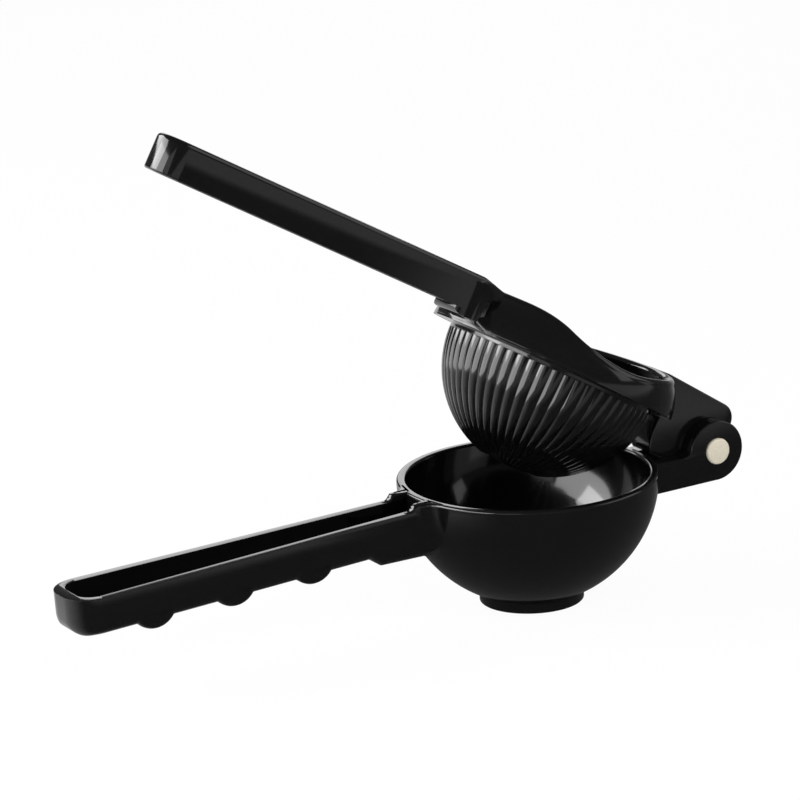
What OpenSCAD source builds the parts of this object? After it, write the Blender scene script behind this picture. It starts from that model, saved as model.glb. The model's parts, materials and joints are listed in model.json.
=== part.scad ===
// Hinged lemon squeezer: a bowl with a trough handle, a fluted press cup with a
// channel handle, and the rivet that hinges the two castings together.
//
// Millimetres, +Z up. The origin is on the table, at the centre of the bowl's foot.
// The hinge is on the +X side, the handles point along -X, the hinge axis runs along Y.

/* [Bowl] */
// Outer radius of the half-round bowl
bowl_r = 35; // [33:0.5:40]
// Wall of the bowl
bowl_wall = 2.5; // [2:0.1:3]
// Rounding of the rim's two edges
rim_round = 0.6; // [0.3:0.1:0.9]
// How much of the inner sphere the flat floor cuts off
floor_flat = 1.9; // [1.5:0.1:2.5]
// Thickness of the flat floor
floor_t = 2.4; // [2:0.1:3]

/* [Foot] */
// Outer radius of the foot ring
foot_r = 14; // [13:0.5:17]
// Width of the foot ring
foot_w = 2.6; // [2:0.1:3]
// Height of the floor's underside above the table
foot_recess = 1.9; // [1.5:0.1:2.5]

/* [Drain holes] */
// Radius of one drain hole
drain_r = 1.5; // [1:0.1:1.7]
// Distance between neighbouring rings of drain holes
drain_pitch = 4.3; // [3.8:0.1:4.4]
// Number of rings round the middle hole
drain_rings = 2; // [1:1:2]

/* [Bowl handle] */
// Distance from the bowl's centre to the tip of the bowl handle
bowl_handle_reach = 138.3; // [125:0.1:160]
// Half of the trough's width where it leaves the bowl
trough_half_root = 7.1; // [6.5:0.1:8]
// Half of the trough's width near its tip
trough_half_tip = 9.9; // [9.4:0.1:12]
// Depth of the trough from its open edge to its underside
trough_depth = 10.1; // [9:0.1:11]
// Wall and floor of the trough
trough_wall = 2.4; // [2:0.1:2.8]
// Wall at the trough's rounded tip
trough_tip_wall = 3.3; // [2.4:0.1:4]
// Rounding along the trough's two lower edges
trough_edge_r = 3; // [2:0.1:4]
// Rounding of the trough's tip in plan
trough_tip_r = 8; // [7.4:0.1:9]
// Rounding of the tip's lower edge
trough_tip_edge_r = 4.5; // [3:0.1:5]
// Angle at which the trough falls away from the rim's plane
trough_droop = 2.7; // [0:0.1:4]
// Step from the rim's plane down to the trough's open edge
trough_step = 1.9; // [1:0.1:2.5]
// Level stretch between the bowl and that step
root_shelf = 4.1; // [2.5:0.1:6]
// Depth of the block under the root, below the rim's plane
root_depth = 15.2; // [13.5:0.1:17]
// Length of that block, from the bowl's outer radius to its sloped end
root_length = 13.2; // [11:0.1:18]
// How far the block's sides stand in from the trough's sides
root_inset = 0.5; // [0.3:0.1:1]
// Fillet in plan between the handle and the bowl
root_fillet = 4; // [2:0.1:6]

/* [Finger bumps] */
// Number of bumps under the bowl handle
bump_count = 3; // [1:1:3]
// Distance from the bowl's centre to the first bump
bump_start = 69.5; // [66:0.5:76]
// Distance between bumps
bump_pitch = 23.3; // [18:0.1:24]
// Radius of one bump
bump_r = 6.5; // [5:0.1:8]
// How far a bump stands out below the trough
bump_drop = 2; // [1:0.1:2.5]
// Rounding of a bump's two ends
bump_edge_r = 1.8; // [1:0.1:2.5]

/* [Press cup] */
// Gap between the closed cup's flutes and the inside of the bowl
cup_gap = 3.3; // [3:0.1:5]
// Wall of the cup
cup_wall = 2.4; // [2:0.1:3]
// Number of ridges round the cup
flute_count = 54; // [36:2:60]
// Height of a ridge above the groove beside it
flute_depth = 0.7; // [0.4:0.1:0.9]
// Share of each pitch that the ridge takes
flute_share = 0.62; // [0.5:0.01:0.7]
// Angle below the rim's plane at which the ridges end on the cup's nose
flute_end = 74; // [60:1:78]
// Gap between the closed castings, at the rim
rim_gap = 0.3; // [0.3:0.1:1]

/* [Collar] */
// Height of the collar at the handle and at the hinge, above the rim's plane
collar_top = 12.2; // [11:0.1:14]
// Height of the collar's sides at the bottom of their scoop
scoop_low = 6.4; // [5:0.1:8]
// Radius of the scoop in the collar's sides
scoop_r = 52; // [45:1:60]
// Angle at which the collar's edge rises towards the hinge
hinge_rise = 10.2; // [8:0.1:12]
// Angle at which the collar's edge rises towards the handle
handle_rise = 13.5; // [11:0.1:15]
// Radius at which the collar's wall curves inwards towards its upper edge
collar_curve_r = 14; // [13.5:0.5:18]
// Wall of the collar
collar_wall = 2.6; // [2.2:0.1:3]

/* [Press handle] */
// Distance from the cup's centre to the tip of the press handle
press_handle_reach = 135.4; // [120:0.1:155]
// Half of the press handle's width
channel_half = 6.3; // [5.8:0.1:7]
// Height of the press handle
channel_height = 9.5; // [8.5:0.1:10.5]
// Height of the press handle's top above the collar, at its root
channel_lift = 1; // [0.6:0.1:1.4]
// Wall of the channel that opens downwards
channel_wall = 2.3; // [1.8:0.1:2.6]
// Rounding along the handle's two upper edges
channel_edge_r = 1.4; // [0.8:0.1:2]
// Rounding of the tip in plan
channel_tip_r = 5.7; // [4:0.1:5.7]
// Angle at which the press handle falls away from the rim's plane
channel_droop = 1.3; // [0:0.1:1.5]
// Fillet in plan between the press handle and the collar
collar_fillet = 5; // [3:0.1:7]
// Angle at which the top of that flare falls off to the sides
flare_slope = 38; // [20:1:45]
// Length of the block under the press handle's root, from the bowl's outer radius
press_shelf = 2.8; // [2:0.1:4]
// Height of that block's underside above the collar's foot
press_shelf_lift = 0.8; // [0.4:0.1:1.5]

/* [Hinge] */
// Distance from the bowl's outer radius to the hinge axis
hinge_reach = 19.2; // [18:0.1:24]
// Depth of the hinge axis below the rim's plane
hinge_drop = 1.6; // [1:0.1:3]
// Radius of the round end of each ear
ear_r = 8.6; // [7.5:0.1:9.5]
// Thickness of one ear
ear_t = 4.4; // [3.5:0.1:5]
// Depth of the arms' upper edge below the rim's plane
arm_drop = 1.5; // [1:0.1:2.5]
// Thickness of the tongue between the ears
tongue_t = 9; // [7:0.1:11]
// Gap between the tongue and each ear
tongue_gap = 0.15; // [0.1:0.05:0.3]
// Radius of the tongue's round end about the hinge axis
hub_r = 7.6; // [6.5:0.1:8.4]
// How far the tongue reaches past the hinge axis
tongue_over = 4.1; // [3.5:0.1:5]
// Depth of the tongue's upper edge below the collar's top, at the collar
tongue_step = 0.4; // [0.2:0.1:1]
// Fall of that edge from the collar to the tongue's end
tongue_fall = 0.9; // [0.3:0.1:1.5]
// Rounding of the tongue's upper corner
tongue_corner_r = 4.5; // [3:0.1:5]
// Radius of the rivet's shank
shank_r = 2.6; // [2:0.1:3]
// Running clearance between the shank and the tongue's bore
shank_clearance = 0.06; // [0.03:0.01:0.1]
// Radius of the rivet's heads
head_r = 3.9; // [3.5:0.1:4.5]
// Height of each rivet head
head_h = 1.5; // [1:0.1:2]

/* [Pose] */
// Angle between the press handle and its closed position
open_angle = 31; // [0:1:110]

/* [Hidden] */
$fn = 96;
cut = 1;                // how far a cutting tool runs past the surface it cuts
thin = 0.1;             // thickness of a station slice inside a hull
blend_fn = 32;          // facets of the rounds that a hull joins
side_overlap = 0.2;     // how far a fillet or a shelf ends inside the handle's sides
wall_overlap = 0.8;     // how far a fillet runs into the collar's wall
rise_bite = 0.2;        // how far the collar's two slopes lie inside the scoop's arc

bowl_in_r = bowl_r - bowl_wall;
floor_depth = bowl_in_r - floor_flat;
rim_z = floor_depth + floor_t + foot_recess;
hinge_x = bowl_r + hinge_reach;
hinge_z = rim_z - hinge_drop;

cup_r = bowl_in_r - cup_gap;
groove_r = cup_r - flute_depth;
cup_in_r = groove_r - cup_wall + flute_depth / 2;
flute_pitch = 360 / flute_count;
collar_r = bowl_r - 0.5;
flange_t = cup_wall;
flange_r = collar_r - collar_wall / 2;
shelf_x = bowl_r + root_shelf;
press_shelf_x = bowl_r + press_shelf;
step_round = trough_step / 2;
ear_in = tongue_t / 2 + tongue_gap;
ear_out = ear_in + ear_t;

enamel = [0.035, 0.035, 0.04];
nickel = [0.87, 0.84, 0.74];

// A quarter of a ring in the plane of a revolve, below the rim's plane
module shell_profile(outer, inner) {
    difference() {
        circle(r = outer);
        circle(r = inner);
        translate([-outer - cut, -outer - cut]) square([outer + cut, 2 * (outer + cut)]);
        translate([-cut, 0]) square([outer + 2 * cut, outer + cut]);
    }
}

// ---------------------------------------------------------------- bowl casting

// Half section of the bowl, its floor, its foot ring and its rounded rim, with the rim at 0
module bowl_profile() {
    difference() {
        union() {
            difference() {
                circle(r = bowl_r);
                translate([-bowl_r - cut, -bowl_r - cut]) square([bowl_r + cut, 2 * (bowl_r + cut)]);
                translate([-cut, -rim_round]) square([bowl_r + 2 * cut, bowl_r + cut]);
                translate([-cut, -rim_z - bowl_r]) square([bowl_r, bowl_r + foot_recess]);
            }
            translate([foot_r - foot_w, -rim_z]) square([foot_w, rim_z - floor_depth]);
            translate([bowl_in_r + rim_round, -2 * rim_round])
                square([bowl_wall - 2 * rim_round, 2 * rim_round]);
            translate([bowl_in_r + rim_round, -rim_round]) circle(r = rim_round);
            translate([bowl_r - rim_round, -rim_round]) circle(r = rim_round);
        }
        // The inside of the bowl, down to its flat floor
        difference() {
            circle(r = bowl_in_r);
            translate([-cut, -bowl_r - cut]) square([bowl_r, bowl_r + cut - floor_depth]);
            translate([-cut, -rim_round]) square([bowl_r + cut, bowl_r + cut]);
        }
    }
}

// One round section of a handle: two lower corners of radius r and two square upper ones
module trough_station(x, half, depth, r, lid) {
    for (side = [-1, 1]) {
        translate([x, side * (half - r), -depth + r]) rotate([0, 90, 0])
            cylinder(r = r, h = thin, center = true, $fn = blend_fn);
        translate([x - thin / 2, side * half - (side + 1) / 2 * thin, lid - thin]) cube(thin);
    }
}

// A post with a rounded lower edge, its top at lid
module trough_nose(r, edge, depth, lid) {
    translate([0, 0, -depth]) rotate_extrude($fn = 48) difference() {
        union() {
            translate([0, edge]) square([r, depth - edge + lid]);
            square([r - edge, edge + thin]);
            translate([r - edge, edge]) circle(r = edge, $fn = blend_fn);
        }
        translate([-r, -cut]) square([r, depth + lid + 2 * cut]);
    }
}

// The trough's outside, or its inside when the wall is taken off, with its open edge at 0
module trough_form(wall, tip_wall, lid, start) {
    nose_r = trough_tip_r - tip_wall;
    nose_x = -bowl_handle_reach + tip_wall + nose_r;
    half_slope = (trough_half_tip - trough_half_root) / (bowl_handle_reach - trough_tip_r - bowl_r);
    depth = trough_depth - wall;
    edge_r = trough_edge_r - wall / 2;
    full_x = -bowl_handle_reach + trough_tip_r;
    hull() {
        trough_station(-start, trough_half_root + (start - bowl_r) * half_slope - wall,
                       depth, edge_r, lid);
        trough_station(full_x, trough_half_tip - wall, depth, edge_r, lid);
        for (side = [-1, 1])
            translate([nose_x, side * (trough_half_tip - wall - nose_r), 0])
                trough_nose(nose_r, trough_tip_edge_r - wall / 2, depth, lid);
    }
}

// Puts the trough at its droop, below the step that ends the level shelf
module at_trough() {
    translate([-shelf_x, 0, -trough_step]) rotate([0, -trough_droop, 0])
        translate([shelf_x, 0, 0]) children();
}

// The side view of the level shelf and of the S-shaped step at its end
module shelf_profile() {
    translate([-shelf_x + step_round, -trough_step - step_round])
        square([root_shelf + bowl_wall / 2 - step_round, trough_step + step_round]);
    translate([-shelf_x, -trough_step - step_round])
        square([step_round, trough_step]);
    translate([-shelf_x + step_round, -step_round]) circle(r = step_round);
    difference() {
        translate([-shelf_x - step_round, -trough_step - step_round])
            square([step_round + thin, 2 * step_round]);
        translate([-shelf_x - step_round, -trough_step + step_round]) circle(r = step_round);
    }
}

// The deeper block under the root of the bowl handle
module root_block() {
    slope_run = root_depth - trough_depth - trough_step;
    end_x = -bowl_r - root_length;
    hull() {
        for (x = [-bowl_in_r, end_x])
            trough_station(x, trough_half_root - root_inset, root_depth, trough_edge_r,
                           -2 * trough_step);
        trough_station(end_x - 1.4 * slope_run, trough_half_root - root_inset,
                       trough_depth + trough_step, trough_edge_r, -2 * trough_step);
    }
}

// Fills the corner, in plan, between a handle of half width half and a round wall of radius r
module corner_fillet(half, r, fillet, height) {
    centre_y = half + fillet;
    centre_x = -sqrt(pow(r + fillet, 2) - pow(centre_y, 2));
    reach = r / (r + fillet);
    for (side = [0, 1]) mirror([0, side, 0]) linear_extrude(height) difference() {
        polygon([[centre_x, 0], [centre_x, half], [centre_x, centre_y],
                 [centre_x * reach, centre_y * reach], [-r / 2, centre_y * reach / 2], [-r / 2, 0]]);
        translate([centre_x, centre_y]) circle(r = fillet);
    }
}

// One arm and its ear, drawn from the side with the hinge axis at the origin
module ear_profile() {
    arm_top = hinge_drop - arm_drop;
    difference() {
        union() {
            circle(r = ear_r);
            polygon([[0, -ear_r], [0, arm_top], [-hinge_x + bowl_in_r, arm_top],
                     [-hinge_x + bowl_in_r, -ear_r - 0.5]]);
        }
        circle(r = shank_r);
    }
}

module drain_holes() {
    translate([0, 0, -rim_z - cut]) {
        cylinder(r = drain_r, h = bowl_r, $fn = 32);
        for (ring = [1 : drain_rings], k = [0 : 6 * ring - 1])
            rotate([0, 0, k * 60 / ring]) translate([ring * drain_pitch, 0, 0])
                cylinder(r = drain_r, h = bowl_r, $fn = 32);
    }
}

module finger_bumps() {
    half_slope = (trough_half_tip - trough_half_root) / (bowl_handle_reach - trough_tip_r - bowl_r);
    edge = bump_edge_r;
    for (k = [0 : bump_count - 1]) {
        x = bump_start + k * bump_pitch;
        half = trough_half_root + (x - bowl_r) * half_slope - side_overlap;
        translate([-x, 0, -trough_depth - bump_drop + bump_r]) rotate([90, 0, 0])
            rotate_extrude() {
                translate([0, -half]) square([bump_r - edge, 2 * half]);
                translate([0, -half + edge]) square([bump_r, 2 * (half - edge)]);
                for (side = [-1, 1])
                    translate([bump_r - edge, side * (half - edge)]) circle(r = edge);
            }
    }
}

// The lower casting: bowl, foot, trough handle and the two ears of the hinge
module bowl_casting() {
    color(enamel) translate([0, 0, rim_z]) difference() {
        union() {
            rotate_extrude() bowl_profile();
            difference() {
                union() {
                    at_trough() {
                        trough_form(0, 0, 0, bowl_in_r);
                        finger_bumps();
                    }
                    root_block();
                    rotate([90, 0, 0])
                        linear_extrude(2 * (trough_half_root - side_overlap), center = true)
                            shelf_profile();
                    translate([0, 0, -root_depth + trough_edge_r])
                        corner_fillet(trough_half_root - side_overlap, bowl_r - 0.3, root_fillet,
                                      root_depth - trough_edge_r);
                }
                at_trough() trough_form(trough_wall, trough_tip_wall, bowl_r, bowl_r + thin);
                sphere(r = bowl_in_r + bowl_wall / 2);
            }
            for (side = [0, 1]) mirror([0, side, 0])
                translate([hinge_x, ear_out, -hinge_drop]) rotate([90, 0, 0])
                    linear_extrude(ear_t) ear_profile();
        }
        // The arms stop inside the bowl's wall
        intersection() {
            sphere(r = bowl_in_r);
            translate([0, 0, -floor_depth]) cylinder(r = bowl_r, h = bowl_r);
        }
        drain_holes();
    }
}

// --------------------------------------------------------------- press casting

// The plain cup, its flange and its collar, with the rim's plane at 0
module cup_shell() {
    rotate_extrude() shell_profile(groove_r, cup_in_r);
    rotate_extrude() polygon([[cup_in_r - 0.2, -flange_t / 2], [groove_r - 0.05, -flange_t / 2],
                              [cup_r, -flange_t / 3], [cup_r, rim_gap], [flange_r, rim_gap],
                              [flange_r, rim_gap + flange_t], [cup_in_r, rim_gap + flange_t]]);
    rotate_extrude() intersection() {
        difference() {
            translate([collar_r - collar_curve_r, rim_gap]) circle(r = collar_curve_r);
            translate([collar_r - collar_curve_r - collar_wall, rim_gap]) circle(r = collar_curve_r);
        }
        translate([collar_r - collar_curve_r, rim_gap]) square([bowl_r, collar_top - rim_gap]);
    }
}

// What lies inside the middle of the collar's curved wall
module collar_core() {
    rotate_extrude() intersection() {
        union() {
            translate([flange_r - collar_curve_r, rim_gap]) circle(r = collar_curve_r);
            square([flange_r - collar_curve_r, collar_curve_r - cut]);
        }
        square([bowl_r, 2 * collar_top]);
    }
}

// The ridges between the flutes, as sectors of a thin round shell
module ridges() {
    for (k = [0 : flute_count - 1])
        rotate([0, 0, k * flute_pitch])
            rotate_extrude(angle = flute_pitch * flute_share) difference() {
                shell_profile(cup_r, groove_r - flute_depth / 2);
                polygon([[0, 0], [bowl_r * cos(flute_end), -bowl_r * sin(flute_end)],
                         [0, -bowl_r]]);
            }
}

// What the scoop takes off the collar's sides: a wide arc with a straight slope at each end
module scoop() {
    width = 3 * bowl_r;
    translate([0, 0, scoop_low + scoop_r]) {
        rotate([90, 0, 0]) cylinder(r = scoop_r, h = width, center = true);
        rotate([0, -hinge_rise, 0]) translate([0, cut - width / 2, rise_bite - scoop_r])
            cube([bowl_r, width - 2 * cut, scoop_r]);
        rotate([0, handle_rise, 0]) translate([-bowl_r, 2 * cut - width / 2, rise_bite - scoop_r])
            cube([bowl_r, width - 4 * cut, scoop_r]);
    }
}

// A post with a rounded upper edge, its top at 0
module round_post(r, edge, height) {
    rotate_extrude($fn = 48) {
        translate([0, -height]) square([r, height - edge]);
        translate([0, -height]) square([r - edge, height]);
        translate([r - edge, -edge]) circle(r = edge, $fn = blend_fn);
    }
}

// The press handle's outside, or its inside when the wall is taken off, with its top at 0
module press_handle_form(wall, start, depth) {
    r = channel_tip_r - wall;
    for_y = channel_half - channel_tip_r;
    hull() for (x = [-start, -press_handle_reach + channel_tip_r], side = [-1, 1])
        translate([x, side * for_y, -wall]) round_post(r, channel_edge_r * r / channel_tip_r, depth - wall);
}

// The end view of the flare: level as wide as the handle, then falling off to both sides
module flare_profile() {
    far_y = 2 * channel_half + collar_fillet;
    top = collar_top - rim_gap + channel_lift / 2;
    low = top - (far_y - channel_half) * tan(flare_slope);
    polygon([[-far_y, -cut], [-far_y, low], [-channel_half, top],
             [channel_half, top], [far_y, low], [far_y, -cut]]);
}

// Puts the press handle's top at the top of the collar, at its droop
module at_press_handle() {
    translate([-collar_r, 0, collar_top + channel_lift]) rotate([0, -channel_droop, 0])
        translate([collar_r, 0, 0]) children();
}

// The tongue that turns between the ears, with the hinge axis along Z at the origin
module tongue() {
    root_x = flange_r - collar_curve_r - hinge_x;
    root_top = hinge_drop + collar_top - tongue_step;
    end_x = tongue_over;
    end_top = root_top - tongue_fall;
    low = hinge_drop + rim_gap;
    difference() {
        union() {
            linear_extrude(tongue_t, center = true)
                polygon([[root_x, root_top], [flange_r - hinge_x, root_top],
                         [end_x - tongue_corner_r, end_top],
                         [end_x - tongue_corner_r, end_top - tongue_corner_r],
                         [end_x, end_top - tongue_corner_r], [end_x, 0], [0, -hub_r],
                         [-hinge_reach + 8, -1.5], [-hinge_reach + 1.2, low], [root_x, low]]);
            translate([end_x - tongue_corner_r, end_top - tongue_corner_r, 0])
                cylinder(r = tongue_corner_r, h = tongue_t, center = true);
            cylinder(r = hub_r, h = tongue_t, center = true);
        }
        cylinder(r = shank_r + shank_clearance, h = tongue_t + cut, center = true);
    }
}

// The upper casting as it lies when closed, with the rim's plane at 0
module press_casting_closed() {
    difference() {
        union() {
            cup_shell();
            difference() {
                union() {
                    at_press_handle() difference() {
                        press_handle_form(0, collar_curve_r, channel_height);
                        press_handle_form(channel_wall, press_shelf_x + channel_tip_r,
                                          channel_height + cut);
                    }
                    translate([-press_shelf_x, side_overlap - channel_half,
                               rim_gap + press_shelf_lift])
                        cube([press_shelf + collar_wall, 2 * (channel_half - side_overlap),
                              collar_top / 2]);
                    translate([0, 0, rim_gap]) intersection() {
                        corner_fillet(channel_half - side_overlap, collar_r - wall_overlap, collar_fillet,
                                      collar_top);
                        rotate([90, 0, 90]) linear_extrude(4 * bowl_r, center = true)
                            flare_profile();
                    }
                }
                collar_core();
            }
            difference() {
                translate([hinge_x, 0, -hinge_drop]) rotate([90, 0, 0]) tongue();
                collar_core();
            }
        }
        scoop();
    }
    ridges();
}

// The upper casting, swung up about the rivet
module press_casting() {
    color(enamel) translate([hinge_x, 0, hinge_z]) rotate([0, open_angle, 0])
        translate([-hinge_x, 0, hinge_drop]) press_casting_closed();
}

// ----------------------------------------------------------------------- rivet

// A shank with a low round-edged head at each end, pressed into the two ears
module hinge_rivet() {
    edge = head_h / 2.5;
    color(nickel) translate([hinge_x, 0, hinge_z]) rotate([90, 0, 0]) rotate_extrude() {
        translate([0, -ear_out - thin]) square([shank_r, 2 * (ear_out + thin)]);
        for (side = [0, 1]) mirror([0, side]) translate([0, ear_out]) {
            square([head_r, head_h - edge]);
            square([head_r - edge, head_h]);
            translate([head_r - edge, head_h - edge]) circle(r = edge);
        }
    }
}

bowl_casting();
press_casting();
hinge_rivet();
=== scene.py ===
"""The looks of a hinged lemon squeezer: two enamelled castings and their rivet, in a bright studio."""

import json
import logging
import math
from collections.abc import Callable, Sequence
from dataclasses import dataclass
from enum import Enum

import bpy
from mathutils import Matrix, Vector


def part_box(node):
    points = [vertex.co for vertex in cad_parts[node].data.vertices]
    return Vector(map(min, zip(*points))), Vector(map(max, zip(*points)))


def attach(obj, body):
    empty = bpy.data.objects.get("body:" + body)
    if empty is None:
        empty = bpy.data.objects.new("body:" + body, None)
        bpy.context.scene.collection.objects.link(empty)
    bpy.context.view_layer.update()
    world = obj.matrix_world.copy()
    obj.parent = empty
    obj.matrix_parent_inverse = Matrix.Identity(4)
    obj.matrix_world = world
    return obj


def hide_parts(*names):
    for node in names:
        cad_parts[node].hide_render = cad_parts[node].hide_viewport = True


logging.basicConfig(level=logging.INFO, format="%(message)s")
LOG = logging.getLogger("squeezer")

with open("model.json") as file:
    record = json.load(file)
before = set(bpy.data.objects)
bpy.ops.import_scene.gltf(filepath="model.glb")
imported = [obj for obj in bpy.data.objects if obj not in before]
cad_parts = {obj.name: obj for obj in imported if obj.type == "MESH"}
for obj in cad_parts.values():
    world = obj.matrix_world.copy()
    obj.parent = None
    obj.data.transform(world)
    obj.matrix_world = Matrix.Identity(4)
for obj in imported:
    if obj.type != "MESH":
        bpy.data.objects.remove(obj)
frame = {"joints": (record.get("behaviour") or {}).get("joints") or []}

Piece = bpy.types.Object
Outline = list[tuple[float, float]]

MM = 0.001
MERGE = 1e-6
SMOOTH_ANGLE = math.radians(32)
CORNER_STEPS = 7
SUNK = 1.2  # how far a rounding reaches into what it joins, in millimetres
NEAR = 0.01  # how close counts as touching, in millimetres
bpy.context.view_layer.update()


class Turn(Enum):
    """The axis that a profile is spun about."""

    UPRIGHT = (0.0, 0.0, 1.0)
    ACROSS = (0.0, 1.0, 0.0)


# ---- modelling


def object_mode() -> None:
    """Leaves edit mode and deselects everything."""
    if bpy.context.object and bpy.context.object.mode != "OBJECT":
        bpy.ops.object.mode_set(mode="OBJECT")
    bpy.ops.object.select_all(action="DESELECT")


def edit(piece: Piece, edges: bool = False) -> None:
    """Opens one piece in edit mode.

    Args:
        piece: the mesh object to work on.
        edges: False to select every vertex, True to start with no edge selected.
    """
    object_mode()
    piece.select_set(True)
    bpy.context.view_layer.objects.active = piece
    bpy.context.tool_settings.mesh_select_mode = (not edges, edges, False)
    bpy.ops.object.mode_set(mode="EDIT")
    bpy.ops.mesh.select_all(action="DESELECT" if edges else "SELECT")


def tidy_shell(piece: Piece) -> None:
    """Merges doubled vertices and turns all faces outwards."""
    edit(piece)
    bpy.ops.mesh.remove_doubles(threshold=MERGE)
    bpy.ops.mesh.normals_make_consistent(inside=False)
    object_mode()


def arc(cx: float, cy: float, r: float, start: float, end: float, steps: int) -> Outline:
    """Points along an arc.

    Args:
        cx: centre, first coordinate.
        cy: centre, second coordinate.
        r: radius.
        start: first angle in degrees.
        end: last angle in degrees.
        steps: number of equal steps.

    Returns:
        steps + 1 points.
    """
    turn = [math.radians(start + (end - start) * k / steps) for k in range(steps + 1)]
    return [(cx + r * math.cos(a), cy + r * math.sin(a)) for a in turn]


def draw(name: str, points: Sequence[Vector], close: bool = False, fill: bool = False) -> Piece:
    """Draws a chain of edges by extruding one vertex from point to point.

    Args:
        name: the object's name.
        points: the chain in millimetres.
        close: True to end the chain where it began.
        fill: True to fill a closed chain with one face.

    Returns:
        The new object.
    """
    object_mode()
    path = [Vector(p) * MM for p in points]
    if close or fill:
        path.append(path[0].copy())
    bpy.ops.mesh.primitive_plane_add(size=MM)
    piece = bpy.context.object
    piece.name = name
    edit(piece)
    bpy.ops.mesh.merge(type="CENTER")
    bpy.ops.transform.translate(value=path[0])
    for here, there in zip(path, path[1:]):
        bpy.ops.mesh.extrude_vertices_move(TRANSFORM_OT_translate={"value": there - here})
    bpy.ops.mesh.select_all(action="SELECT")
    bpy.ops.mesh.remove_doubles(threshold=MERGE)
    if fill:
        bpy.ops.mesh.select_all(action="SELECT")
        bpy.ops.mesh.edge_face_add()
    object_mode()
    return piece


def lathe(
    name: str,
    outline: Outline,
    steps: int,
    turn: Turn = Turn.UPRIGHT,
    angle: float = 360.0,
    close: bool = False,
) -> Piece:
    """Spins an outline of (radius, height) points about an axis through the origin.

    Args:
        name: the object's name.
        outline: the outline in millimetres, radius first.
        steps: segments in the turn.
        turn: the axis.
        angle: the turn in degrees. Less than a full turn gets its ends filled.
        close: True when the outline is a closed loop.

    Returns:
        The new object, its faces outwards.
    """
    if turn is Turn.UPRIGHT:
        points = [Vector((r, 0.0, h)) for r, h in outline]
    else:
        points = [Vector((-r, h, 0.0)) for r, h in outline]
    piece = draw(name, points, close=close)
    edit(piece)
    bpy.ops.mesh.spin(steps=steps, angle=math.radians(angle), center=(0, 0, 0), axis=turn.value)
    bpy.ops.mesh.select_all(action="SELECT")
    bpy.ops.mesh.remove_doubles(threshold=MERGE)
    if abs(angle) < 360.0:
        bpy.ops.mesh.fill_holes(sides=0)
    tidy_shell(piece)
    return piece


def prism(name: str, outline: Sequence[Vector], along: Vector) -> Piece:
    """Fills a closed outline and extrudes it.

    Args:
        name: the object's name.
        outline: the outline in millimetres.
        along: the extrusion in millimetres.

    Returns:
        The new closed solid.
    """
    piece = draw(name, outline, fill=True)
    edit(piece)
    bpy.ops.mesh.extrude_region_move(TRANSFORM_OT_translate={"value": along * MM})
    tidy_shell(piece)
    return piece


@dataclass(frozen=True)
class Station:
    """One section of a tapering bar: its place along the bar, and its half width and depth."""

    x: float
    half: float
    depth: float


def loft(name: str, section: Outline, stations: Sequence[Station]) -> Piece:
    """Extrudes a section of half width 1 and depth 1 through a row of stations.

    Args:
        name: the object's name.
        section: closed outline of (width, height) points, in shares of half width and depth.
        stations: the stations in millimetres, with the bar's top at height 0.

    Returns:
        The new closed solid.
    """
    first = stations[0]
    points = [Vector((first.x, y * first.half, z * first.depth)) for y, z in section]
    piece = draw(name, points, fill=True)
    edit(piece)
    for here, there in zip(stations, stations[1:]):
        step = ((there.x - here.x) * MM, 0.0, 0.0)
        bpy.ops.mesh.extrude_region_move(TRANSFORM_OT_translate={"value": step})
        bpy.ops.transform.resize(
            value=(1.0, there.half / here.half, there.depth / here.depth),
            center_override=(there.x * MM, 0.0, 0.0),
        )
    tidy_shell(piece)
    return piece


def rounded_section(half: float, depth: float, r: float, lid: float) -> Outline:
    """A bar's section with two rounded lower corners, for loft.

    Args:
        half: half width in millimetres at the first station.
        depth: depth in millimetres at the first station.
        r: corner radius in millimetres.
        lid: how far the section rises above height 0, in millimetres.

    Returns:
        The outline in shares of half and depth.
    """
    right = arc(half - r, r - depth, r, 0, -90, CORNER_STEPS)
    left = arc(r - half, r - depth, r, -90, -180, CORNER_STEPS)
    points = [(half, lid)] + right + left + [(-half, lid)]
    return [(y / half, z / depth) for y, z in points]


def cut_away(piece: Piece, cutter: Piece) -> None:
    """Takes one solid out of another.

    Args:
        piece: the solid that stays.
        cutter: the solid that is used up.
    """
    object_mode()
    bpy.context.view_layer.objects.active = piece
    piece.select_set(True)
    tool = piece.modifiers.new("cut", "BOOLEAN")
    tool.operation = "DIFFERENCE"
    tool.solver = "EXACT"
    tool.object = cutter
    bpy.ops.object.modifier_apply(modifier=tool.name)
    bpy.data.objects.remove(cutter)


def round_edges(
    piece: Piece,
    r: float,
    keep: Callable[[Vector], bool],
    segments: int = 4,
    angle: float = 40.0,
) -> None:
    """Rounds the sharp edges whose two ends pass a test.

    Args:
        piece: the mesh object.
        r: rounding in millimetres.
        keep: the test on a vertex's place in millimetres.
        segments: segments of the rounding.
        angle: the least angle between two faces, in degrees.
    """
    edit(piece, edges=True)
    bpy.ops.mesh.edges_select_sharp(sharpness=math.radians(angle))
    bpy.ops.object.mode_set(mode="OBJECT")
    mesh = piece.data
    chosen = [e.select and all(keep(mesh.vertices[i].co / MM) for i in e.vertices) for e in mesh.edges]
    for part in (mesh.vertices, mesh.edges, mesh.polygons):
        part.foreach_set("select", [False] * len(part))
    for e, wanted in zip(mesh.edges, chosen):
        if wanted:
            e.select = True
            for i in e.vertices:
                mesh.vertices[i].select = True
    bpy.ops.object.mode_set(mode="EDIT")
    bpy.ops.mesh.bevel(offset=r * MM, segments=segments, profile=0.5, affect="EDGES", clamp_overlap=True)
    tidy_shell(piece)


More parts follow.
